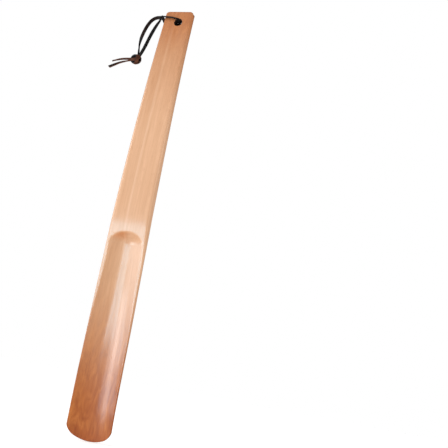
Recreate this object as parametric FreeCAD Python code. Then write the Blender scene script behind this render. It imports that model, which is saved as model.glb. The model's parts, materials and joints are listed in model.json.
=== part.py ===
import FreeCAD, Part
import math
import os

# A long-handled wooden shoehorn with a leather hanging lace.
#
# Millimetres.  Z runs up the horn from the foot edge (z = 0) to the top of the handle, X is
# to the right when looking into the scoop, and Y points out of the back of the horn.
# The foot edge and the top edge of the front face both lie at y = 0.

# ---- driving dimensions: wood ----
LENGTH = 400.0              # foot edge to top edge
FOOT_WIDTH = 42.0           # across the blade where its side edges meet the foot curve
TOP_WIDTH = 28.2            # across the top of the handle
SIDE_BULGE = 0.2            # how far each side edge bows out at mid-length
BOW_DEPTH = 9.9             # mid-length stands this far in front of the two ends
HANDLE_THICKNESS = 9.0      # where the handle meets the blade
TOP_THICKNESS = 6.0         # at the top of the handle
HANDLE_ROUNDING = 2.2       # rounding along the four long edges of the handle
TOP_CORNER_RADIUS = 4.0
FOOT_CORNER_RADIUS = 7.5
FOOT_SAGITTA = 2.6          # the foot edge bulges down this far in the middle

# ---- driving dimensions: blade and scoop ----
ARCH_CENTRE_Z = 166.0       # centre of the round upper end of the scoop
ARCH_RADIUS = 15.4          # its radius, measured across the front face
ARCH_SQUASH = 0.68          # its height over its radius
ARCH_DEPTH = 4.6            # depth of the scoop at the arch centre
FOOT_SCOOP_DEPTH = 3.4
FOOT_RIM = 0.5              # flat rim left each side of the scoop at the foot
FOOT_EDGE_THICKNESS = 1.8   # side edge of the wood at the foot
BLADE_SIDE_THICKNESS = 3.6  # side edge of the wood at the arch
FOOT_CENTRE_THICKNESS = 1.7  # wood behind the middle of the scoop at the foot
ARCH_CENTRE_THICKNESS = 2.2  # and at the arch
BLADE_EDGE_ROUNDING = 0.8   # rounding along the long edges of the blade
BLADE_STEP = 3.0            # the blade's front rims stand this far behind the handle's front
BLADE_SPREAD = 0.7          # and each side edge this far outside the handle's line
BLADE_FULL_Z = 120.0        # both grow from nothing at the foot to their full size here
SHOULDER_BOTTOM_Z = 146.0   # the blade turns into the handle between these two heights
SHOULDER_TOP_Z = 202.0

# ---- driving dimensions: hole and lace ----
HOLE_DIAMETER = 7.0
HOLE_DROP = 12.5            # hole centre below the top edge
HOLE_OFFSET = 1.0           # hole centre right of the centre line
HOLE_SOFTENING = 1.0        # rounding at both mouths of the hole
LACE_WIDTH = 3.2
LACE_THICKNESS = 1.3
LACE_GAP = 0.4              # lace to wood
KNOT_SIZE = (12.0, 10.4, 11.6)
STRAND_SPREAD = 2.0         # the loop's two strands stand this far each side of its middle plane
LACE_HEIGHT_IN_HOLE = 1.1   # under face of the lace above the hole's centre line

# ---- derived ----
BOW_RADIUS = ((LENGTH / 2.0) ** 2 + BOW_DEPTH ** 2) / (2.0 * BOW_DEPTH)
SECTION_STEP = 14.0
OVERRUN = 8.0               # the swept blank runs this far past both ends before trimming
OUTSIDE = 40.0              # a half-width well clear of the wood
SCOOP_LEAD = 1.0            # the scooping tool's outline starts this far in front of the face
MOUTH_LEAD = 0.25           # the rounding at each mouth of the hole starts this far outside the face
ROUNDING_DEPTH = 0.8        # each edge rounding reaches this much less down the side face
HOLE_Z = LENGTH - HOLE_DROP


def blend(z, low, high):
    """0 below low, 1 above high, with a smooth step between."""
    t = min(1.0, max(0.0, (z - low) / (high - low)))
    return t * t * (3.0 - 2.0 * t)


def blade_share(z):
    """1 along the blade, fading to 0 on the handle and at the foot edge."""
    return blend(z, 0.0, BLADE_FULL_Z) - blend(z, SHOULDER_BOTTOM_Z, SHOULDER_TOP_Z)


def front_y(z):
    """Depth of the front face: an arc through both ends, with the blade stepped back from it."""
    arc = BOW_RADIUS - BOW_DEPTH - math.sqrt(BOW_RADIUS ** 2 - (z - LENGTH / 2.0) ** 2)
    return arc + BLADE_STEP * blade_share(z)


def half_width(z):
    u = z / LENGTH
    straight = FOOT_WIDTH + (TOP_WIDTH - FOOT_WIDTH) * u
    return straight / 2.0 + 4.0 * SIDE_BULGE * u * (1.0 - u) + BLADE_SPREAD * blade_share(z)


def side_thickness(z):
    """Thickness at the side edge: thin along the blade, full on the handle."""
    blade = FOOT_EDGE_THICKNESS + (BLADE_SIDE_THICKNESS - FOOT_EDGE_THICKNESS) * z / ARCH_CENTRE_Z
    handle = HANDLE_THICKNESS + (TOP_THICKNESS - HANDLE_THICKNESS) * blend(z, SHOULDER_TOP_Z, LENGTH)
    return blade + (handle - blade) * blend(z, SHOULDER_BOTTOM_Z, SHOULDER_TOP_Z)


def scoop_depth(z):
    return FOOT_SCOOP_DEPTH + (ARCH_DEPTH - FOOT_SCOOP_DEPTH) * blend(z, 0.0, ARCH_CENTRE_Z * 0.75)


def centre_thickness(z):
    """Full thickness on the centre line, from the front face to the crown of the back."""
    behind = FOOT_CENTRE_THICKNESS
    behind += (ARCH_CENTRE_THICKNESS - FOOT_CENTRE_THICKNESS) * blend(z, 0.0, ARCH_CENTRE_Z)
    blade = scoop_depth(z) + behind
    handle = side_thickness(z)
    return blade + (handle - blade) * blend(z, SHOULDER_BOTTOM_Z, SHOULDER_TOP_Z)


def edge_rounding(z):
    swell = blend(z, SHOULDER_BOTTOM_Z, SHOULDER_TOP_Z)
    return BLADE_EDGE_ROUNDING + (HANDLE_ROUNDING - BLADE_EDGE_ROUNDING) * swell


def scoop_half_width(z):
    """The scoop opens from the arch radius to nearly the full width of the blade."""
    full = half_width(z) - FOOT_RIM
    return full + (ARCH_RADIUS - full) * blend(z, ARCH_CENTRE_Z * 0.45, ARCH_CENTRE_Z)


def curve(*points):
    bezier = Part.BezierCurve()
    bezier.setPoles([FreeCAD.Vector(*p) for p in points])
    return bezier.toShape()


def wood_section(z):
    """Closed outline of the blank at one height: flat front, crowned back, rounded corners."""
    hw = half_width(z)
    front = front_y(z)
    r = edge_rounding(z)
    down = r * ROUNDING_DEPTH
    side = front + side_thickness(z)
    slope = 2.0 * (centre_thickness(z) - side_thickness(z)) / hw
    crown = side + slope * hw
    near = side + slope * r
    edges = [
        curve((-hw + r, front, z), (hw - r, front, z)),
        curve((hw - r, front, z), (hw, front, z), (hw, front + down, z)),
        curve((hw, front + down, z), (hw, side - down, z)),
        curve((hw, side - down, z), (hw, side, z), (hw - r, near, z)),
        curve((hw - r, near, z), (0.0, crown, z), (-hw + r, near, z)),
        curve((-hw + r, near, z), (-hw, side, z), (-hw, side - down, z)),
        curve((-hw, side - down, z), (-hw, front + down, z)),
        curve((-hw, front + down, z), (-hw, front, z), (-hw + r, front, z)),
    ]
    return Part.Wire(edges)


def stations(low, high, step):
    count = int(math.ceil((high - low) / step))
    return [low + (high - low) * i / count for i in range(count + 1)]


def prism(edges):
    """Solid across the full depth of the wood from a closed outline drawn at y = 0."""
    outline = Part.Wire(edges)
    outline.translate(FreeCAD.Vector(0, -OUTSIDE, 0))
    return Part.Face(outline).extrude(FreeCAD.Vector(0, 2.0 * OUTSIDE, 0))


def end_trim(corner_x, end_z, corner_r, sagitta, up):
    """Waste beyond one end of the horn.  up is +1 for the top end and -1 for the foot."""
    flat_x = corner_x - corner_r
    slope = 2.0 * sagitta / flat_x
    flat_z = end_z - up * sagitta
    corner_z = flat_z - up * slope * corner_r
    side_z = corner_z - up * corner_r
    crown_z = end_z + up * sagitta
    far_z = end_z + up * OUTSIDE
    shoulder_z = side_z - up * OUTSIDE / 2.0
    return prism([
        curve((-OUTSIDE, 0, shoulder_z), (-corner_x, 0, side_z)),
        curve((-corner_x, 0, side_z), (-corner_x, 0, corner_z), (-flat_x, 0, flat_z)),
        curve((-flat_x, 0, flat_z), (0, 0, crown_z), (flat_x, 0, flat_z)),
        curve((flat_x, 0, flat_z), (corner_x, 0, corner_z), (corner_x, 0, side_z)),
        curve((corner_x, 0, side_z), (OUTSIDE, 0, shoulder_z)),
        curve((OUTSIDE, 0, shoulder_z), (OUTSIDE, 0, far_z)),
        curve((OUTSIDE, 0, far_z), (-OUTSIDE, 0, far_z)),
        curve((-OUTSIDE, 0, far_z), (-OUTSIDE, 0, shoulder_z)),
    ])


def ball_radius(half, depth):
    """Radius of the circle that is a half-width across at a depth above its lowest point."""
    return (half ** 2 + depth ** 2) / (2.0 * depth)


def scoop_section(z):
    """Outline of the material scooped out at one height: a circular segment carried on a
    little way in front of the front face."""
    radius = ball_radius(scoop_half_width(z), scoop_depth(z))
    rise = scoop_depth(z) + SCOOP_LEAD
    half = math.sqrt(radius ** 2 - (radius - rise) ** 2)
    front = front_y(z)
    left = FreeCAD.Vector(-half, front - SCOOP_LEAD, z)
    right = FreeCAD.Vector(half, front - SCOOP_LEAD, z)
    bottom = FreeCAD.Vector(0, front + scoop_depth(z), z)
    clear = FreeCAD.Vector(0, -OUTSIDE / 2.0, 0)
    return Part.Wire([
        Part.Arc(left, bottom, right).toShape(),
        Part.makeLine(right, right + clear),
        Part.makeLine(right + clear, left + clear),
        Part.makeLine(left + clear, left),
    ])


def make_scoop():
    """The channel down the blade, and the ball-shaped end that gives the round arch."""
    channel = Part.makeLoft([scoop_section(z) for z in stations(-OVERRUN, ARCH_CENTRE_Z, SECTION_STEP)],
                            True, False)
    ball_r = ball_radius(ARCH_RADIUS, ARCH_DEPTH)
    centre = FreeCAD.Vector(0, front_y(ARCH_CENTRE_Z) + ARCH_DEPTH - ball_r, ARCH_CENTRE_Z)
    ball = Part.makeSphere(ball_r)
    ball.rotate(FreeCAD.Vector(0, 0, 0), FreeCAD.Vector(0, 1, 0), 90)
    upper = Part.makeBox(2.0 * OUTSIDE, 2.0 * OUTSIDE, OUTSIDE, FreeCAD.Vector(-OUTSIDE, -OUTSIDE, 0))
    squash = FreeCAD.Matrix()
    squash.scale(1.0, 1.0, ARCH_SQUASH)
    end = ball.common(upper).transformGeometry(squash)
    end.translate(centre)
    return channel.fuse(end)


# ---- the handle's own directions at the hole: the front face leans back a little there ----
LEAN = math.degrees(math.asin((HOLE_Z - LENGTH / 2.0) / BOW_RADIUS))
HOLE_POINT = FreeCAD.Vector(HOLE_OFFSET, front_y(HOLE_Z), HOLE_Z)
HOLE_FRAME = FreeCAD.Placement(HOLE_POINT, FreeCAD.Rotation(FreeCAD.Vector(1, 0, 0), -LEAN))


def make_hole():
    """The drilled hole with rounded mouths, as one turned tool through the handle."""
    r = HOLE_DIAMETER / 2.0
    mouth_r = r + HOLE_SOFTENING
    back = side_thickness(HOLE_Z)
    near = -OUTSIDE / 2.0
    far = back + OUTSIDE / 2.0
    profile = Part.Wire([
        curve((0, near, 0), (mouth_r, near, 0)),
        curve((mouth_r, near, 0), (mouth_r, -MOUTH_LEAD, 0)),
        curve((mouth_r, -MOUTH_LEAD, 0), (r, MOUTH_LEAD, 0), (r, HOLE_SOFTENING, 0)),
        curve((r, HOLE_SOFTENING, 0), (r, back - HOLE_SOFTENING, 0)),
        curve((r, back - HOLE_SOFTENING, 0), (r, back - MOUTH_LEAD, 0), (mouth_r, back + MOUTH_LEAD, 0)),
        curve((mouth_r, back + MOUTH_LEAD, 0), (mouth_r, far, 0)),
        curve((mouth_r, far, 0), (0, far, 0)),
        curve((0, far, 0), (0, near, 0)),
    ])
    tool = Part.Face(profile).revolve(FreeCAD.Vector(0, 0, 0), FreeCAD.Vector(0, 1, 0), 360)
    tool.Placement = HOLE_FRAME
    return tool


def make_body():
    sections = [wood_section(z) for z in stations(-OVERRUN, LENGTH + OVERRUN, SECTION_STEP)]
    wood = Part.makeLoft(sections, True, False)
    foot_corner_x = half_width(FOOT_SAGITTA + FOOT_CORNER_RADIUS)
    top_corner_x = half_width(LENGTH - TOP_CORNER_RADIUS)
    wood = wood.cut(end_trim(foot_corner_x, 0.0, FOOT_CORNER_RADIUS, FOOT_SAGITTA, -1.0))
    wood = wood.cut(end_trim(top_corner_x, LENGTH, TOP_CORNER_RADIUS, 0.0, 1.0))
    wood = wood.cut(make_scoop())
    return wood.cut(make_hole())


# ---- the lace: a flat leather strip.  Its points are (x, y, z) in the hole's frame: x to the
# right, y into the wood, z up the handle.  It stands on edge, so its width lies along y. ----
WOOD_AT_HOLE = side_thickness(HOLE_Z)
FRONT_RUN_Y = -LACE_GAP - LACE_WIDTH / 2.0
BACK_RUN_Y = WOOD_AT_HOLE + LACE_GAP + LACE_WIDTH / 2.0
MIDDLE_Y = WOOD_AT_HOLE / 2.0
FRONT_STRAND_Y = MIDDLE_Y - STRAND_SPREAD
BACK_STRAND_Y = MIDDLE_Y + STRAND_SPREAD
LOOP_BEND = (-19.6, MIDDLE_Y, 7.9)
KNOT_CENTRE = (-34.5, MIDDLE_Y, -40.5)
KNOT_NECK = (-32.4, MIDDLE_Y, -34.2)
TAIL_ROOT = (KNOT_CENTRE[0] - KNOT_SIZE[0] / 2.0 - 0.9, MIDDLE_Y, -40.4)
JOINT_GAP = 0.9             # lace left out each side of a hinge, so that the strips can turn


def strap(points):
    """A strip standing on edge along a smooth path of (x, y, z) points."""
    sections = []
    for i, point in enumerate(points):
        ahead = FreeCAD.Vector(*points[min(i + 1, len(points) - 1)])
        behind = FreeCAD.Vector(*points[max(i - 1, 0)])
        along = ahead - behind
        thin = FreeCAD.Vector(-along.z, 0, along.x).normalize() * (LACE_THICKNESS / 2.0)
        wide = FreeCAD.Vector(0, LACE_WIDTH / 2.0, 0)
        at = FreeCAD.Vector(*point)
        corners = [at - thin - wide, at + thin - wide, at + thin + wide, at - thin + wide]
        sections.append(Part.makePolygon(corners + corners[:1]))
    return Part.makeLoft(sections, True, len(points) == 2)


def make_through_hole():
    """The strip where it passes through the hole, lying against the top of it."""
    length = BACK_RUN_Y + LACE_WIDTH / 2.0 - FRONT_RUN_Y + LACE_WIDTH / 2.0
    corner = FreeCAD.Vector(-LACE_WIDTH / 2.0, FRONT_RUN_Y - LACE_WIDTH / 2.0, LACE_HEIGHT_IN_HOLE)
    return Part.makeBox(LACE_WIDTH, length, LACE_THICKNESS, corner)


def make_front_run():
    return strap([(-LACE_WIDTH / 2.0 - 0.1, FRONT_RUN_Y, 2.9), (-8.0, FRONT_RUN_Y, 4.0),
                  (-15.2, FRONT_RUN_Y, 4.9), (-17.5, FRONT_RUN_Y + 0.4, 6.2),
                  (LOOP_BEND[0] + 0.5, FRONT_STRAND_Y, LOOP_BEND[2] - 0.5)])


def make_back_run():
    return strap([(-LACE_WIDTH / 2.0 - 0.1, BACK_RUN_Y, 2.2), (-8.0, BACK_RUN_Y, 2.6),
                  (-15.2, BACK_RUN_Y, 3.8), (-17.8, BACK_RUN_Y - 0.4, 5.9),
                  (LOOP_BEND[0] + 0.6, BACK_STRAND_Y, LOOP_BEND[2] - 0.3)])


def make_outer_strand():
    y = BACK_STRAND_Y
    return strap([(LOOP_BEND[0] - JOINT_GAP, y, 8.9), (-24.5, y, 9.8), (-28.6, y, 8.4), (-31.6, y, 5.2),
                  (-34.0, y, -0.4), (-35.8, y, -7.8), (-36.6, y, -14.8), (-36.5, y, -22.8),
                  (-35.2, y - 0.3, -28.6), (KNOT_NECK[0] - 1.6, y - 0.8, -32.4)])


def make_inner_strand():
    y = FRONT_STRAND_Y
    return strap([(LOOP_BEND[0] - 0.5, y, LOOP_BEND[2] - 1.6), (-21.0, y, 0.3), (-23.1, y, -5.5),
                  (-25.0, y, -12.4), (-26.6, y, -20.0), (-28.4, y + 0.3, -27.0),
                  (KNOT_NECK[0] + 1.4, y + 0.8, -32.4)])


def make_knot():
    ball = Part.makeSphere(1.0)
    stretch = FreeCAD.Matrix()
    stretch.scale(*[size / 2.0 for size in KNOT_SIZE])
    knot = ball.transformGeometry(stretch)
    knot.translate(FreeCAD.Vector(*KNOT_CENTRE))
    return knot


def make_tail(y, points):
    root = (TAIL_ROOT[0] - JOINT_GAP, y, TAIL_ROOT[2])
    return strap([root] + [(x, y, z) for x, z in points])


LACE = {
    "lace_through_hole": make_through_hole(),
    "lace_front_run": make_front_run(),
    "lace_back_run": make_back_run(),
    "lace_outer_strand": make_outer_strand(),
    "lace_inner_strand": make_inner_strand(),
    "lace_knot": make_knot(),
    "lace_tail_long": make_tail(FRONT_STRAND_Y, [(-47.5, -42.1), (-54.4, -44.7), (-60.9, -48.3)]),
    "lace_tail_short": make_tail(BACK_STRAND_Y, [(-50.1, -40.6), (-58.8, -42.2)]),
}

os.makedirs("parts", exist_ok=True)
make_body().exportStep("parts/shoehorn_body.step")
for name, shape in LACE.items():
    shape.Placement = HOLE_FRAME.multiply(shape.Placement)
    shape.exportStep("parts/" + name + ".step")
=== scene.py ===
import json
import math

import bmesh
import bpy
from mathutils import Matrix, Quaternion, Vector, noise


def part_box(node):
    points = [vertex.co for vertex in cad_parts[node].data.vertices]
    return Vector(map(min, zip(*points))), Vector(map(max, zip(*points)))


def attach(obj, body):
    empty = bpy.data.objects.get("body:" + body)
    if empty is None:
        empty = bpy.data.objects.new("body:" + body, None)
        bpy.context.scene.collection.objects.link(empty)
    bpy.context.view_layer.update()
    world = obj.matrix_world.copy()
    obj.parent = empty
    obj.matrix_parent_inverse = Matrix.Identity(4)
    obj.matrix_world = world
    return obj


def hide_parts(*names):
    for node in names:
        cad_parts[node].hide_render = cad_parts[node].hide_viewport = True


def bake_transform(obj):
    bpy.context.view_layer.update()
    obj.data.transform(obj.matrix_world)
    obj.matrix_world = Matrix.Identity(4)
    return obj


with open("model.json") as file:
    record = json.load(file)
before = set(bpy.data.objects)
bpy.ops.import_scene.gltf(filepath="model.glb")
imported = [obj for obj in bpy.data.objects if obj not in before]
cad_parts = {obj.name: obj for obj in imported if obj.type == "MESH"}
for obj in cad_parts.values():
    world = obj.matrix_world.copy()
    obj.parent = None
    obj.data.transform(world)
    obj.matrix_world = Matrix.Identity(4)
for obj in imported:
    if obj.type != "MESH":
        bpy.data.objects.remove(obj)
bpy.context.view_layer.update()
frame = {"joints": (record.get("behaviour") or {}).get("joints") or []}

# ---------------------------------------------------------------- sizes, from the frame
WOOD_LOW, WOOD_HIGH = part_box("shoehorn_body")
LENGTH = WOOD_HIGH[2] - WOOD_LOW[2]
MM = LENGTH / 400.0                      # the horn is 400 mm long
JOINTS = {joint["name"]: joint for joint in frame["joints"]}

FOOT_WIDTH = 42.0 * MM
TOP_WIDTH = 28.2 * MM
SIDE_BULGE = 0.2 * MM
BOW_DEPTH = 9.9 * MM
HANDLE_THICKNESS = 9.0 * MM
TOP_THICKNESS = 6.0 * MM
HANDLE_ROUNDING = 2.2 * MM
TOP_ROUNDING = 0.6 * HANDLE_ROUNDING
FOOT_ROUNDING = 0.8 * MM
TOP_CORNER_RADIUS = 4.0 * MM
FOOT_CORNER_RADIUS = 7.5 * MM
FOOT_CORNER_SQUASH = 0.75
FOOT_SAGITTA = 2.6 * MM
FOOT_OUTLINE_REACH = 45.0 * MM           # how far up the foot's outline still bends the mesh rows
TOP_OUTLINE_REACH = 24.0 * MM            # how far down the top's outline does
ARCH_CENTRE_Z = 166.0 * MM
ARCH_RADIUS = 15.4 * MM
ARCH_SQUASH = 0.68
ARCH_DEPTH = 4.6 * MM
ARCH_SOFTNESS = 0.5 * MM
RIM_SOFTNESS = 0.25 * MM
FOOT_SCOOP_DEPTH = 3.4 * MM
FOOT_RIM = 0.5 * MM
FOOT_EDGE_THICKNESS = 1.8 * MM
FOOT_CENTRE_THICKNESS = 1.7 * MM
ARCH_CENTRE_THICKNESS = 2.2 * MM
BLADE_SIDE_THICKNESS = 3.6 * MM
BLADE_STEP = 3.0 * MM
BLADE_SPREAD = 0.7 * MM
BLADE_FULL_Z = 120.0 * MM
SHOULDER_BOTTOM_Z = 146.0 * MM
SHOULDER_TOP_Z = 202.0 * MM
SCOOP_NARROWS_Z = 0.45 * ARCH_CENTRE_Z
SCOOP_DEEPEST_Z = 0.75 * ARCH_CENTRE_Z
BOW_RADIUS = ((LENGTH / 2.0) ** 2 + BOW_DEPTH ** 2) / (2.0 * BOW_DEPTH)

HOLE_RADIUS = 3.5 * MM
HOLE_SOFTENING = 1.0 * MM
LACE_WIDTH = 3.2 * MM
LACE_THICKNESS = 1.3 * MM

MOST_ROUNDING = 0.45                     # share of the thickness that one rounded edge may take
COLUMNS = 96                             # steps of the mesh across each face of the wood


# ---------------------------------------------------------------- shape of the wood
def smooth_step(value, low, high):
    """0 below low, 1 above high, with a smooth step between."""
    t = min(1.0, max(0.0, (value - low) / (high - low)))
    return t * t * (3.0 - 2.0 * t)


def between(first, second, share):
    """The value that is a share of the way from first to second."""
    return first + (second - first) * share


def handle_share(z):
    """0 on the blade, 1 on the handle, rising over the shoulder between them."""
    return smooth_step(z, SHOULDER_BOTTOM_Z, SHOULDER_TOP_Z)


def blade_share(z):
    """1 along the blade, fading to 0 on the handle and at the foot edge."""
    return smooth_step(z, 0.0, BLADE_FULL_Z) - handle_share(z)


def front_y(z):
    """The front face at a height: the bow's arc, set back along the blade."""
    arc = BOW_RADIUS - BOW_DEPTH - math.sqrt(BOW_RADIUS ** 2 - (z - LENGTH / 2.0) ** 2)
    return arc + BLADE_STEP * blade_share(z)


def half_width(z):
    u = z / LENGTH
    straight = between(FOOT_WIDTH, TOP_WIDTH, u)
    return straight / 2.0 + 4.0 * SIDE_BULGE * u * (1.0 - u) + BLADE_SPREAD * blade_share(z)


def side_thickness(z):
    blade = between(FOOT_EDGE_THICKNESS, BLADE_SIDE_THICKNESS, z / ARCH_CENTRE_Z)
    handle = between(HANDLE_THICKNESS, TOP_THICKNESS, smooth_step(z, SHOULDER_TOP_Z, LENGTH))
    return between(blade, handle, handle_share(z))


def scoop_centre_depth(z):
    return between(FOOT_SCOOP_DEPTH, ARCH_DEPTH, smooth_step(z, 0.0, SCOOP_DEEPEST_Z))


def centre_thickness(z):
    """Thickness along the middle: the scoop and the wood behind it, then the plain handle."""
    behind = between(FOOT_CENTRE_THICKNESS, ARCH_CENTRE_THICKNESS, smooth_step(z, 0.0, ARCH_CENTRE_Z))
    blade = scoop_centre_depth(z) + behind
    return between(blade, side_thickness(z), handle_share(z))


def edge_rounding(z):
    return between(FOOT_ROUNDING, HANDLE_ROUNDING, handle_share(z))


def scoop_half_width(z):
    full = half_width(z) - FOOT_RIM
    return between(full, ARCH_RADIUS, smooth_step(z, SCOOP_NARROWS_Z, ARCH_CENTRE_Z))


def scoop_depth(x, z):
    """Depth of the scoop below the front face, with its lip softened."""
    base_z = min(z, ARCH_CENTRE_Z)
    wide = scoop_half_width(base_z)
    deep = scoop_centre_depth(base_z)
    ball = (wide ** 2 + deep ** 2) / (2.0 * deep)
    beyond = max(0.0, z - ARCH_CENTRE_Z) / ARCH_SQUASH
    inside = ball ** 2 - x ** 2 - beyond ** 2
    cut = math.sqrt(max(inside, 0.0)) - (ball - deep) + front_y(base_z) - front_y(z)
    soft = between(RIM_SOFTNESS, ARCH_SOFTNESS, smooth_step(z, SCOOP_DEEPEST_Z, ARCH_CENTRE_Z))
    return 0.5 * (cut + math.sqrt(cut ** 2 + soft ** 2))


def rounding_inset(distance, radius):
    """How far a rounded edge stands back from the face, at a distance in from the edge."""
    reach = max(0.0, radius - distance)
    return radius - math.sqrt(max(0.0, radius ** 2 - reach ** 2))


def foot_outline(x):
    """Height of the foot edge above its lowest point."""
    corner_x = half_width(0.0)
    flat_x = corner_x - FOOT_CORNER_RADIUS
    height = FOOT_SAGITTA * (x / flat_x) ** 2
    into_corner = min(1.0, max(0.0, (abs(x) - flat_x) / FOOT_CORNER_RADIUS))
    corner = FOOT_CORNER_RADIUS * (1.0 - math.sqrt(1.0 - into_corner ** 2))
    return height + corner * FOOT_CORNER_SQUASH


def top_outline(x):
    """How far the top edge drops at its rounded corners."""
    into_corner = abs(x) - (half_width(LENGTH) - TOP_CORNER_RADIUS)
    into_corner = min(1.0, max(0.0, into_corner / TOP_CORNER_RADIUS))
    return TOP_CORNER_RADIUS * (1.0 - math.sqrt(1.0 - into_corner ** 2))


def fades(distance, reach):
    """1 at no distance, fading to 0 at reach and beyond."""
    return max(0.0, 1.0 - distance / reach) ** 2


def wood_point(across, up, back):
    """A point of the wood's skin.  across is -1 to 1, up is 0 to LENGTH, back picks the back face."""
    share = math.sin(across * math.pi / 2.0)
    row_x = half_width(up) * share
    z = up + foot_outline(row_x) * fades(up, FOOT_OUTLINE_REACH)
    z -= top_outline(row_x) * fades(LENGTH - up, TOP_OUTLINE_REACH)
    half = half_width(z)
    x = half * share
    crown = (centre_thickness(z) - side_thickness(z)) * (1.0 - share ** 2)
    near = front_y(z) + scoop_depth(x, z)
    far = front_y(z) + side_thickness(z) + crown
    most = MOST_ROUNDING * (far - near)
    end_radius = FOOT_ROUNDING if up < LENGTH / 2.0 else TOP_ROUNDING
    side_inset = rounding_inset(half - abs(x), min(edge_rounding(z), most))
    end_inset = rounding_inset(min(up, LENGTH - up), min(end_radius, most))
    inset = max(side_inset, end_inset)
    return Vector((x, far - inset if back else near + inset, z))


def spaced(low, high, step):
    """Even steps of about step, from low up to but not including high."""
    count = max(1, round((high - low) / step))
    return [low + (high - low) * i / count for i in range(count)]


def wood_rows():
    """Heights of the mesh rows, close together at the foot edge, round the arch and at the top."""
    edges = [height * MM for height in (0.0, 1.0, 12.0, 135.0, 184.0, 375.0, 398.4)] + [LENGTH]
    steps = (0.2, 1.0, 2.5, 0.6, 3.0, 1.0, 0.2)
    rows = []
    for low, high, step in zip(edges, edges[1:], steps):
        rows += spaced(low, high, step * MM)
    return rows + [LENGTH]


def mesh_object(name, points, faces, material, smooth=True):
    mesh = bpy.data.meshes.new(name)
    mesh.from_pydata(points, [], faces)
    mesh.materials.append(material)
    mesh.polygons.foreach_set("use_smooth", [smooth] * len(mesh.polygons))
    mesh.update()
    piece = bpy.data.objects.new(name, mesh)
    bpy.context.collection.objects.link(piece)
    return piece


def ring_faces(rows, ring):
    """Quads joining each ring of points to the next, and one face closing each end."""
    faces = []
    for row in range(rows - 1):
        here = row * ring
        above = here + ring
        for i in range(ring):
            j = (i + 1) % ring
            faces.append((here + i, here + j, above + j, above + i))
    faces.append(tuple(reversed(range(ring))))
    faces.append(tuple((rows - 1) * ring + i for i in range(ring)))
    return faces


def make_wood(material):
    columns = [2.0 * i / COLUMNS - 1.0 for i in range(COLUMNS + 1)]
    rows = wood_rows()
    points = []
    for up in rows:
        points += [wood_point(across, up, False) for across in columns]
        points += [wood_point(across, up, True) for across in reversed(columns)]
    return mesh_object("shoehorn_wood", points, ring_faces(len(rows), 2 * len(columns)), material)


# ---------------------------------------------------------------- the hole's own directions
HOLE_AXIS = Vector(JOINTS["lace_swing"]["axis"])
HOLE_MIDDLE = Vector(JOINTS["lace_swing"]["pos_m"])
WOOD_AT_HOLE = side_thickness(HOLE_MIDDLE.z)
SIDEWAYS = Vector((1.0, 0.0, 0.0))
UP_HANDLE = SIDEWAYS.cross(HOLE_AXIS)
HOLE_FRONT = HOLE_MIDDLE - HOLE_AXIS * (WOOD_AT_HOLE / 2.0)
HOLE_FRAME = Matrix((SIDEWAYS, HOLE_AXIS, UP_HANDLE)).transposed().to_4x4()
HOLE_FRAME.translation = HOLE_FRONT

HOLE_SIDES = 64                          # points round the hole
MOUTH_STEPS = 8                          # rings in each rounded mouth
CUTTER_OVERSHOOT = 6.0 * MM              # how far the cutter stands out of each face
# the bore and the inner part of its mouths are painted dark: partly the wood's own stain, partly painted
# shade
STAINED_AND_SHADED_RADIUS = HOLE_RADIUS + 0.7 * HOLE_SOFTENING


def hole_profile():
    """(radius, depth) points of the cutter, from outside one face to outside the other."""
    profile = [(HOLE_RADIUS + HOLE_SOFTENING, -CUTTER_OVERSHOOT)]
    for i in range(MOUTH_STEPS + 1):
        a = math.pi / 2.0 * i / MOUTH_STEPS
        radius = HOLE_RADIUS + HOLE_SOFTENING * (1.0 - math.sin(a))
        profile.append((radius, HOLE_SOFTENING * (1.0 - math.cos(a))))
    return profile + [(radius, WOOD_AT_HOLE - depth) for radius, depth in reversed(profile)]


def make_hole_cutter(material):
    profile = hole_profile()
    points = []
    for radius, depth in profile:
        for i in range(HOLE_SIDES):
            a = 2.0 * math.pi * i / HOLE_SIDES
            points.append(HOLE_FRAME @ Vector((radius * math.cos(a), depth, radius * math.sin(a))))
    cutter = mesh_object("hole_cutter", points, ring_faces(len(profile), HOLE_SIDES), material)
    clean = bmesh.new()
    clean.from_mesh(cutter.data)
    bmesh.ops.recalc_face_normals(clean, faces=clean.faces)
    clean.to_mesh(cutter.data)
    clean.free()
    return cutter


def drill_hole(wood, stain_and_shade):
    """Cuts the hole with rounded mouths through the handle; its bore is painted dark, for the wood's
    stain and as painted shade.
    """
    cutter = make_hole_cutter(wood.data.materials[0])
    cut = wood.modifiers.new("hole", "BOOLEAN")
    cut.operation = "DIFFERENCE"
    cut.solver = "MANIFOLD"
    cut.object = cutter
    apply_modifiers(wood)
    bpy.data.objects.remove(cutter)
    wood.data.materials.append(stain_and_shade)
    to_hole = HOLE_FRAME.inverted()
    for face in wood.data.polygons:
        place = to_hole @ face.center
        if math.hypot(place.x, place.z) < STAINED_AND_SHADED_RADIUS:
            face.material_index = 1


def apply_modifiers(piece):
    """Bakes a piece's modifiers into its mesh."""
    depsgraph = bpy.context.evaluated_depsgraph_get()
    baked = bpy.data.meshes.new_from_object(piece.evaluated_get(depsgraph))
    piece.modifiers.clear()
    piece.data = baked


# ---------------------------------------------------------------- the lace
STRIP_CORNER = 0.32                      # corner radius, as a share of the thickness
CORNER_STEPS = 3
RAGGED = 0.05                            # how much the width varies, as a share of it
RAGGED_LENGTH = 3.0 * MM                 # over about this length
KEY_STEPS = 10                           # rings of mesh from one key to the next


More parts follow.
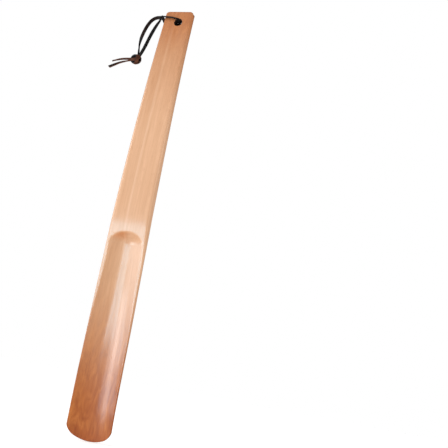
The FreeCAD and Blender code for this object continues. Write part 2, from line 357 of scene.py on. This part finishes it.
def spline(keys, steps):
    """Catmull-Rom curve through (point, wide) keys, as lists of points and wide directions."""
    points = []
    wides = []
    last = len(keys) - 1
    for i in range(last):
        around = [keys[max(0, min(last, i + k))] for k in (-1, 0, 1, 2)]
        for step in range(steps + (i == last - 1)):
            t = step / steps
            weights = (
                -0.5 * t + t * t - 0.5 * t ** 3,
                1.0 - 2.5 * t * t + 1.5 * t ** 3,
                0.5 * t + 2.0 * t * t - 1.5 * t ** 3,
                -0.5 * t * t + 0.5 * t ** 3,
            )
            points.append(sum((key[0] * w for key, w in zip(around, weights)), Vector()))
            wides.append(sum((key[1] * w for key, w in zip(around, weights)), Vector()))
    return points, wides


def strip_outline(width, thickness):
    """The strip's section, as (across, through) points round its four rounded corners."""
    corner = thickness * STRIP_CORNER
    outline = []
    for turn, (side, face) in enumerate(((1, 1), (-1, 1), (-1, -1), (1, -1))):
        for step in range(CORNER_STEPS + 1):
            a = math.pi / 2.0 * (turn + step / CORNER_STEPS)
            across = side * (width / 2.0 - corner) + corner * math.cos(a)
            through = face * (thickness / 2.0 - corner) + corner * math.sin(a)
            outline.append((across, through))
    return outline


def strip(name, keys, materials, width=LACE_WIDTH, thickness=LACE_THICKNESS, steps=KEY_STEPS, slant=0.0):
    """A flat leather strip, with one material all round and another on its second face.  Keys are
    ((x, y, z), (x, y, z)): a point in millimetres in the hole's frame, and the direction of the
    strip's width there.  slant sets how the last cut end slopes."""
    vectors = [(Vector(point) * MM, Vector(wide).normalized()) for point, wide in keys]
    points, wides = spline(vectors, steps)
    outline = strip_outline(width, thickness)
    verts = []
    count = len(points)
    for i, (point, wide) in enumerate(zip(points, wides)):
        along = (points[min(i + 1, count - 1)] - points[max(i - 1, 0)]).normalized()
        flat = along.cross(wide).normalized()
        across = flat.cross(along).normalized()
        ragged = 1.0 + RAGGED * noise.noise(point / RAGGED_LENGTH)
        end_slant = slant if i == count - 1 else 0.0
        for w, t in outline:
            place = point + across * (w * ragged) + flat * t + along * (end_slant * w)
            verts.append(HOLE_FRAME @ place)
    ring = len(outline)
    piece = mesh_object(name, verts, ring_faces(count, ring), materials[0])
    piece.data.materials.append(materials[1])
    for face in piece.data.polygons:
        through = sum(outline[v % ring][1] for v in face.vertices) / len(face.vertices)
        if through < -0.45 * thickness:
            face.material_index = 1
    return piece


# In the hole's frame and in millimetres the wood's front face is at y = 0 and its back face here:
BACK_FACE = WOOD_AT_HOLE / MM
MID_WOOD = BACK_FACE / 2.0

UPPER_KEYS = [
    # up the outer strand and over the top of the loop
    ((-36.4, 5.0, -15.0), (0.85, -0.1, -0.3)),
    ((-35.5, 5.2, -7.8), (0.85, 0.3, -0.3)),
    ((-33.8, 5.4, -0.6), (0.79, 0.58, -0.24)),
    ((-31.2, 5.6, 5.2), (0.68, 0.6, -0.42)),
    ((-27.8, 5.8, 8.4), (0.5, 0.6, -0.6)),
    ((-24.0, 6.0, 9.5), (0.0, 0.5, -0.85)),
    ((-20.6, 6.2, 9.1), (-0.2, 0.2, -0.9)),
    ((-18.2, 6.9, 6.4), (-0.45, 0.0, -0.9)),
    # across the back face to the hole
    ((-16.2, BACK_FACE + 0.9, 3.6), (-0.35, 0.0, -0.95)),
    ((-12.5, BACK_FACE + 1.3, 2.4), (-0.1, 0.0, -1.0)),
    ((-6.5, BACK_FACE + 1.3, 1.9), (-0.05, 0.0, -1.0)),
    ((-1.8, BACK_FACE + 1.0, 1.8), (0.0, 0.25, -1.0)),
    # through the hole
    ((0.1, BACK_FACE - 1.2, 1.5), (-0.3, 0.1, -0.95)),
    ((0.4, MID_WOOD, 1.5), (-0.6, 0.0, -0.8)),
    ((0.3, 0.6, 1.9), (-0.85, -0.15, -0.5)),
    # back across the front face
    ((-1.6, -1.5, 3.0), (-0.35, -0.8, -0.5)),
    ((-6.5, -1.8, 4.2), (0.0, -0.82, -0.57)),
    ((-12.5, -1.8, 4.8), (0.0, -0.82, -0.57)),
    ((-16.6, -1.4, 5.4), (0.0, -0.82, -0.57)),
    # over the edge and down the inner strand
    ((-19.0, 0.6, 6.2), (0.3, -0.7, -0.6)),
    ((-20.2, 2.0, 3.2), (0.75, -0.55, -0.1)),
    ((-22.0, 2.1, -1.2), (0.85, -0.2, 0.35)),
    ((-23.8, 2.2, -6.4), (0.92, 0.0, 0.35)),
    ((-25.5, 2.3, -12.4), (0.93, 0.1, 0.3)),
    ((-26.9, 2.4, -18.5), (0.92, 0.1, 0.28)),
]
OUTER_LOW_KEYS = [
    UPPER_KEYS[0],
    ((-36.2, 4.8, -22.0), (0.6, -0.6, -0.3)),
    ((-35.0, 4.5, -29.0), (0.3, -0.85, -0.3)),
    ((-34.1, 4.3, -34.0), (0.2, -0.85, -0.4)),
    ((-33.6, 4.1, -37.5), (0.2, -1.0, 0.0)),
]
INNER_LOW_KEYS = [
    UPPER_KEYS[-1],
    ((-28.4, 2.6, -25.5), (0.9, 0.1, 0.25)),
    ((-30.3, 2.9, -32.0), (0.88, 0.0, 0.3)),
    ((-32.2, 3.4, -37.0), (0.85, -0.2, 0.3)),
]
LONG_TAIL_KEYS = [
    ((-37.5, 2.8, -41.6), (0.0, 0.9, 0.4)),
    ((-42.2, 2.1, -43.2), (0.0, 0.8, 0.6)),
    ((-49.0, 1.9, -45.2), (0.15, 0.5, 0.8)),
    ((-54.8, 1.9, -47.9), (0.3, 0.25, 0.9)),
    ((-59.6, 1.9, -50.4), (0.35, 0.2, 0.9)),
]
SHORT_TAIL_KEYS = [
    ((-37.5, 5.0, -38.8), (0.0, 0.95, 0.2)),
    ((-42.0, 5.4, -38.6), (0.0, 0.95, 0.2)),
    ((-51.0, 5.6, -39.0), (0.0, 0.9, 0.35)),
    ((-59.6, 5.6, -41.2), (0.1, 0.7, 0.7)),
]


def bend_at(piece):
    """Bakes the piece's placement into its mesh."""
    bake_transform(piece)


def make_lace(grain, flesh, loop_flesh):
    upper = strip("lace_loop_upper", UPPER_KEYS, (grain, loop_flesh))
    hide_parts("lace_through_hole", "lace_front_run", "lace_back_run", "lace_outer_strand",
                "lace_inner_strand")
    bend_at(upper)

    for name, keys in (
            ("lace_outer_strand_low", OUTER_LOW_KEYS),
            ("lace_inner_strand_low", INNER_LOW_KEYS)):
        low = strip(name, keys, (grain, loop_flesh))
        bend_at(low)

    knot = make_knot((grain, flesh))
    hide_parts("lace_knot")
    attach(knot, "knot")

    for name, keys, body, sides, slant in (
            ("lace_tail_long_end", LONG_TAIL_KEYS, "tail_long", (flesh, grain), 0.6),
            ("lace_tail_short_end", SHORT_TAIL_KEYS, "tail_short", (flesh, flesh), -0.3)):
        tail = strip(name, keys, sides, slant=slant)
        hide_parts("lace_" + body)
        bend_at(tail)


KNOT_CENTRE = Vector((-34.5, MID_WOOD, -40.5))
KNOT_RADII = (3.9, 3.5, 3.7)             # millimetres sideways, through and up
KNOT_LOOPS = 3
KNOT_STEPS = 40 * KNOT_LOOPS
KNOT_TUMBLE = (0.35, 1.0, -0.25)         # the plane of each loop turns over about this axis
KNOT_FIRST_AXIS = Vector((0.75, 0.65, 0.35)).normalized()
KNOT_WAVE = 0.06                         # how much the loops swell and shrink, as a share
KNOT_WAVES = 1.7                         # and how often in each loop
KNOT_STRIP_WIDTH = 3.6 * MM
KNOT_STRIP_THICKNESS = 2.4 * MM


def make_knot(materials):
    """The overhand knot: a fat strip wound round and round into a tight ball."""
    up = Vector((0.0, 0.0, 1.0))
    keys = []
    for i in range(KNOT_STEPS + 1):
        a = 2.0 * math.pi * KNOT_LOOPS * i / KNOT_STEPS
        axis = Quaternion(KNOT_TUMBLE, a / KNOT_LOOPS) @ KNOT_FIRST_AXIS
        first = axis.cross(up).normalized()
        second = axis.cross(first)
        out = first * math.cos(a) + second * math.sin(a)
        place = Vector([part * radius for part, radius in zip(out, KNOT_RADII)])
        swell = 1.0 + KNOT_WAVE * math.sin(KNOT_WAVES * a)
        keys.append((KNOT_CENTRE + place * swell, -axis))
    return strip("lace_knot_wound", keys, materials, KNOT_STRIP_WIDTH, KNOT_STRIP_THICKNESS, steps=2)


# ---------------------------------------------------------------- materials
WHITE = (1.0, 1.0, 1.0)

# How fine each noise is, per metre, across, through and up the piece.
FIGURE_SCALE = (95.0, 150.0, 3.2)
SWIRL_SCALE = (120.0, 160.0, 34.0)
FIBRE_SCALE = (1100.0, 1100.0, 22.0)
PORE_SCALE = (1500.0, 1500.0, 120.0)
PEBBLE_SCALE = (1800.0, 1800.0, 1800.0)
PATCH_SCALE = (260.0, 260.0, 260.0)

# Each colour is given where its noise is low, middling and high.
FIGURE_STOPS = (0.3, 0.5, 0.7)
PALE_WOOD = ((0.68, 0.375, 0.205), (0.72, 0.415, 0.24), (0.76, 0.45, 0.27))
RED_WOOD = ((0.35, 0.082, 0.013), (0.45, 0.125, 0.022), (0.55, 0.175, 0.036))
STREAK = (0.81, 0.52, 0.34)
STREAK_WIDTH = 2.2 * MM
STREAK_PLACE = 4.2 * MM                  # how far left of the middle it would run if it were straight
STREAK_WANDER = 3.0 * MM

BUMP_DEPTH = 0.0003                      # metres


def new_material(name):
    material = bpy.data.materials.new(name)
    material.use_nodes = True
    tree = material.node_tree
    return material, tree, tree.nodes["Principled BSDF"]


def add(tree, kind, **settings):
    made = tree.nodes.new(kind)
    for key, value in settings.items():
        setattr(made, key, value)
    return made


def stretched_noise(tree, scale, detail, distortion=0.0, roughness=0.55):
    """Noise in the piece's own metres, with its own scale along each axis."""
    place = add(tree, "ShaderNodeTexCoord")
    mapping = add(tree, "ShaderNodeMapping")
    mapping.inputs["Scale"].default_value = scale
    grain = add(tree, "ShaderNodeTexNoise")
    grain.inputs["Scale"].default_value = 1.0
    grain.inputs["Detail"].default_value = detail
    grain.inputs["Roughness"].default_value = roughness
    grain.inputs["Distortion"].default_value = distortion
    tree.links.new(place.outputs["Object"], mapping.inputs["Vector"])
    tree.links.new(mapping.outputs["Vector"], grain.inputs["Vector"])
    return grain.outputs["Fac"]


def ramp(tree, source, stops):
    """A colour that runs through (position, colour) stops as source rises."""
    colours = add(tree, "ShaderNodeValToRGB")
    elements = colours.color_ramp.elements
    while len(elements) < len(stops):
        elements.new(0.5)
    for element, (position, colour) in zip(elements, stops):
        element.position = position
        element.color = (*colour, 1.0)
    tree.links.new(source, colours.inputs["Fac"])
    return colours.outputs["Color"]


def mix(tree, blend_type, amount, first, second):
    """Mixes two colours.  amount may be a number or a socket; so may each colour."""
    mixer = add(tree, "ShaderNodeMix", data_type="RGBA", blend_type=blend_type)
    for index, value in ((0, amount), (6, first), (7, second)):
        if isinstance(value, bpy.types.NodeSocket):
            tree.links.new(value, mixer.inputs[index])
        elif index:
            mixer.inputs[index].default_value = (*value, 1.0)
        else:
            mixer.inputs[index].default_value = value
    return mixer.outputs[2]


def grey_mix(tree, source, low, high, first, second):
    """A grey running from first to second while source runs from low to high."""
    reach = add(tree, "ShaderNodeMapRange", interpolation_type="SMOOTHSTEP")
    for name, value in (("From Min", low), ("From Max", high), ("To Min", first), ("To Max", second)):
        reach.inputs[name].default_value = value
    tree.links.new(source, reach.inputs["Value"])
    return reach.outputs["Result"]


def magnitude(tree, source):
    absolute = add(tree, "ShaderNodeMath", operation="ABSOLUTE")
    tree.links.new(source, absolute.inputs[0])
    return absolute.outputs[0]


def coordinates(tree, source):
    """The X, Y and Z sockets of a vector."""
    parts = add(tree, "ShaderNodeSeparateXYZ")
    tree.links.new(source, parts.inputs["Vector"])
    return parts.outputs


def wander(tree, across, noise_value):
    """Distance from a line that wanders up the handle a little left of its middle."""
    offset = add(tree, "ShaderNodeMath", operation="MULTIPLY_ADD")
    tree.links.new(noise_value, offset.inputs[0])
    offset.inputs[1].default_value = -STREAK_WANDER
    tree.links.new(across, offset.inputs[2])
    shifted = add(tree, "ShaderNodeMath", operation="ADD")
    tree.links.new(offset.outputs[0], shifted.inputs[0])
    shifted.inputs[1].default_value = STREAK_PLACE
    return magnitude(tree, shifted.outputs[0])


def roughen(tree, shader, height, strength):
    bump = add(tree, "ShaderNodeBump")
    bump.inputs["Strength"].default_value = strength
    bump.inputs["Distance"].default_value = BUMP_DEPTH
    tree.links.new(height, bump.inputs["Height"])
    tree.links.new(bump.outputs["Normal"], shader.inputs["Normal"])


def pale_wood(tree, across):
    """The handle's wood: long pale figure with one paler streak."""
    figure = stretched_noise(tree, FIGURE_SCALE, 3.0, 0.7)
    plain = ramp(tree, figure, list(zip(FIGURE_STOPS, PALE_WOOD)))
    streak = grey_mix(tree, wander(tree, across, figure), 0.0, STREAK_WIDTH, 0.6, 0.0)
    return mix(tree, "MIX", streak, plain, STREAK)


def red_wood(tree):
    """The wood at the two ends: redder and swirled."""
    swirl = stretched_noise(tree, SWIRL_SCALE, 4.0, 1.6)
    return ramp(tree, swirl, list(zip(FIGURE_STOPS, RED_WOOD)))


def add_fibres_and_pores(tree, colour, fibres):
    threads = ramp(tree, fibres, [(0.38, (0.88, 0.84, 0.80)), (0.6, WHITE)])
    colour = mix(tree, "MULTIPLY", 0.55, colour, threads)
    pores = stretched_noise(tree, PORE_SCALE, 2.0)
    dots = ramp(tree, pores, [(0.28, (0.72, 0.64, 0.58)), (0.36, WHITE)])
    return mix(tree, "MULTIPLY", 0.4, colour, dots)


def darken_ends(tree, colour, height, red):
    """Darkens the upper handle, turns its tip red and darkens the last stretch of the foot."""
    handle_end = grey_mix(tree, height, 0.66 * LENGTH, 0.92 * LENGTH, 0.0, 1.0)
    colour = mix(tree, "MULTIPLY", handle_end, colour, (0.86, 0.75, 0.66))
    tip = grey_mix(tree, height, 0.86 * LENGTH, 0.98 * LENGTH, 0.0, 0.62)
    colour = mix(tree, "MIX", tip, colour, red)
    sole = grey_mix(tree, height, 0.0, 0.035 * LENGTH, 1.0, 0.0)
    return mix(tree, "MULTIPLY", sole, colour, (0.92, 0.8, 0.68))


def paint_upright_shade(tree, colour, across):
    """Painted shade: darkens what faces up or down, most of all left of the middle, where the scoop's
    end turns away from the light.
    """
    facing = add(tree, "ShaderNodeNewGeometry")
    upright = magnitude(tree, coordinates(tree, facing.outputs["Normal"])["Z"])
    upright_shade = grey_mix(tree, upright, 0.15, 0.7, 0.0, 1.0)
    left_half = grey_mix(tree, across, -5.0 * MM, 3.0 * MM, 1.0, 0.15)
    left_weighted_shade = add(tree, "ShaderNodeMath", operation="MULTIPLY")
    tree.links.new(upright_shade, left_weighted_shade.inputs[0])
    tree.links.new(left_half, left_weighted_shade.inputs[1])
    # painted shade, tinted darker orange, where the scoop's end wall faces away from the upper-left
    # light
    return mix(tree, "MULTIPLY", left_weighted_shade.outputs[0], colour, (0.88, 0.62, 0.42))


def paint_outline_shade(tree, colour):
    """Painted shade along the outline: darkens the wood where it turns away from the eye, as its rounded
    edges in shade.
    """
    edge_on = add(tree, "ShaderNodeLayerWeight")
    edge_on.inputs["Blend"].default_value = 0.5
    outline = grey_mix(tree, edge_on.outputs["Facing"], 0.55, 0.95, 0.0, 1.0)
    # painted shade on the rounded edges seen edge-on
    return mix(tree, "MULTIPLY", outline, colour, (0.8, 0.62, 0.48))


def wood_material():
    """Orange-brown wood under lacquer, pale on the handle and redder at both ends, with painted shade on
    its upright faces and along its outline.
    """
    material, tree, shader = new_material("lacquered_wood")
    place = coordinates(tree, add(tree, "ShaderNodeTexCoord").outputs["Object"])
    fibres = stretched_noise(tree, FIBRE_SCALE, 4.0)
    red = red_wood(tree)
    foot = grey_mix(tree, place["Z"], 0.05 * LENGTH, 0.39 * LENGTH, 1.0, 0.0)
    colour = mix(tree, "MIX", foot, pale_wood(tree, place["X"]), red)
    colour = add_fibres_and_pores(tree, colour, fibres)
    colour = darken_ends(tree, colour, place["Z"], red)
    colour = paint_upright_shade(tree, colour, place["X"])
    colour = paint_outline_shade(tree, colour)
    tree.links.new(colour, shader.inputs["Base Color"])
    shader.inputs["Roughness"].default_value = 0.45
    shader.inputs["Specular IOR Level"].default_value = 0.25
    shader.inputs["Coat Weight"].default_value = 0.7
    shader.inputs["Coat Roughness"].default_value = 0.13
    roughen(tree, shader, fibres, 0.08)
    return material


def leather_material(name, dark, light, roughness):
    material, tree, shader = new_material(name)
    pebble = stretched_noise(tree, PEBBLE_SCALE, 4.0)
    patches = stretched_noise(tree, PATCH_SCALE, 3.0)
    colour = ramp(tree, patches, [(0.3, dark), (0.7, light)])
    tree.links.new(colour, shader.inputs["Base Color"])
    shader.inputs["Roughness"].default_value = roughness
    shader.inputs["Specular IOR Level"].default_value = 0.2
    roughen(tree, shader, pebble, 0.5)
    return material


# ---------------------------------------------------------------- stage, light and camera
# Brightness, where 1 is white; lengths are in metres and angles in degrees.
FILL = 0.70
REFLECTED_FILL = 0.06
FLOOR_GREY = 0.92
FLOOR_GLOW = 0.43
FLOOR_REACH = 8.0
FLOOR_Z = -0.0003                        # just below the foot
LIGHTS_AIM = Vector((0.0, 0.0, LENGTH / 3.0))

CAMERA_PLACE = Vector((0.2629, -0.5456, 0.0573))
CAMERA_HEADING = 18.26                   # left of straight ahead
CAMERA_RISE = 13.57
CAMERA_ROLL = 10.60
CAMERA_LENS = 55.78                      # millimetres, on a sensor 36 mm wide


def make_floor():
    """A pale floor that glows a little."""
    material, tree, shader = new_material("pale_floor")
    shader.inputs["Base Color"].default_value = (FLOOR_GREY, FLOOR_GREY, FLOOR_GREY, 1.0)
    shader.inputs["Roughness"].default_value = 0.9
    shader.inputs["Emission Color"].default_value = (*WHITE, 1.0)
    shader.inputs["Emission Strength"].default_value = FLOOR_GLOW
    square = ((-1, -1), (1, -1), (1, 1), (-1, 1))
    corners = [Vector((x * FLOOR_REACH, y * FLOOR_REACH, FLOOR_Z)) for x, y in square]
    floor = mesh_object("floor", corners, [(0, 1, 2, 3)], material, smooth=False)
    floor.visible_glossy = False
    floor.visible_shadow = False


def make_light(name, bearing, rise, reach, size, radiance, tint=WHITE):
    """A soft rectangular light, reach metres from the blade and facing it.  bearing is degrees left
    of straight in front, rise is degrees above level, and radiance is how bright its face looks."""
    data = bpy.data.lights.new(name, "AREA")
    data.shape = "RECTANGLE"
    data.size, data.size_y = size
    data.energy = radiance * math.pi * data.size * data.size_y
    data.color = tint
    light = bpy.data.objects.new(name, data)
    left = math.radians(bearing)
    up = math.radians(rise)
    level = math.cos(up)
    toward = Vector((-math.sin(left) * level, -math.cos(left) * level, math.sin(up)))
    light.location = LIGHTS_AIM + toward * reach
    light.rotation_mode = "QUATERNION"
    light.rotation_quaternion = toward.to_track_quat("Z", "Y")
    bpy.context.collection.objects.link(light)
    return light


def make_lights():
    """Two broad lights, and four panels that show only as reflections."""
    # name, bearing, rise, reach, size, radiance and, for the panels, tint
    make_light("upper_left_key", 58.0, 22.0, 1.7, (0.7, 0.7), 7.6)
    make_light("right_fill", -78.0, 15.0, 1.5, (0.8, 0.8), 1.4)
    panels = (
        make_light("front_panel", 27.0, 3.0, 1.1, (0.44, 0.17), 8.0, (0.4, 0.8, 1.0)),
        make_light("left_panel", 61.0, 3.0, 1.1, (0.85, 0.3), 3.0, (0.5, 0.8, 1.0)),
        make_light("low_ridge", 44.0, -7.0, 1.1, (0.17, 0.34), 5.0, (1.0, 0.95, 0.9)),
        make_light("low_veil", 46.0, -6.0, 1.0, (0.5, 0.3), 4.0, (0.75, 0.9, 1.0)),
    )
    for panel in panels:
        panel.visible_diffuse = False


def make_world():
    """White to the camera, an even fill on the surfaces, and dimmer in their reflections."""
    world = bpy.data.worlds.new("studio")
    bpy.context.scene.world = world
    world.use_nodes = True
    tree = world.node_tree
    path = add(tree, "ShaderNodeLightPath")
    shown = tree.nodes["Background"].outputs["Background"]
    tree.nodes["Background"].inputs["Color"].default_value = (*WHITE, 1.0)
    tree.nodes["Background"].inputs["Strength"].default_value = FILL
    for ray, strength in (("Is Glossy Ray", REFLECTED_FILL), ("Is Camera Ray", 1.0)):
        other = add(tree, "ShaderNodeBackground")
        other.inputs["Color"].default_value = (*WHITE, 1.0)
        other.inputs["Strength"].default_value = strength
        choose = add(tree, "ShaderNodeMixShader")
        tree.links.new(path.outputs[ray], choose.inputs["Fac"])
        tree.links.new(shown, choose.inputs[1])
        tree.links.new(other.outputs["Background"], choose.inputs[2])
        shown = choose.outputs["Shader"]
    tree.links.new(shown, tree.nodes["World Output"].inputs["Surface"])


def make_camera():
    data = bpy.data.cameras.new("camera")
    data.sensor_width = 36.0
    data.lens = CAMERA_LENS
    camera = bpy.data.objects.new("camera", data)
    heading = math.radians(CAMERA_HEADING)
    rise = math.radians(CAMERA_RISE)
    roll = Quaternion((0.0, 0.0, 1.0), math.radians(CAMERA_ROLL))
    level = math.cos(rise)
    forward = Vector((-math.sin(heading) * level, math.cos(heading) * level, math.sin(rise)))
    camera.location = CAMERA_PLACE
    camera.rotation_mode = "QUATERNION"
    camera.rotation_quaternion = forward.to_track_quat("-Z", "Y") @ roll
    data.clip_start = 0.01
    bpy.context.collection.objects.link(camera)
    bpy.context.scene.camera = camera


wood = make_wood(wood_material())
# dark brown for the bore: its stain plus painted shade deep in the hole
stain_and_shade = leather_material("stained_and_shaded_bore", (0.012, 0.006, 0.004), (0.03, 0.015, 0.01), 0.7)
drill_hole(wood, stain_and_shade)
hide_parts("shoehorn_body")
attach(wood, "wood")

grain_side = leather_material("leather_grain_side", (0.004, 0.003, 0.003), (0.011, 0.007, 0.006), 0.5)
flesh_side = leather_material("leather_flesh_side", (0.05, 0.015, 0.006), (0.12, 0.042, 0.02), 0.85)
loop_flesh_side = leather_material(
    "leather_loop_flesh_side", (0.010, 0.005, 0.004), (0.03, 0.013, 0.009), 0.6)
make_lace(grain_side, flesh_side, loop_flesh_side)

make_floor()
make_lights()
make_world()
make_camera()
bpy.context.scene.view_settings.view_transform = "Standard"
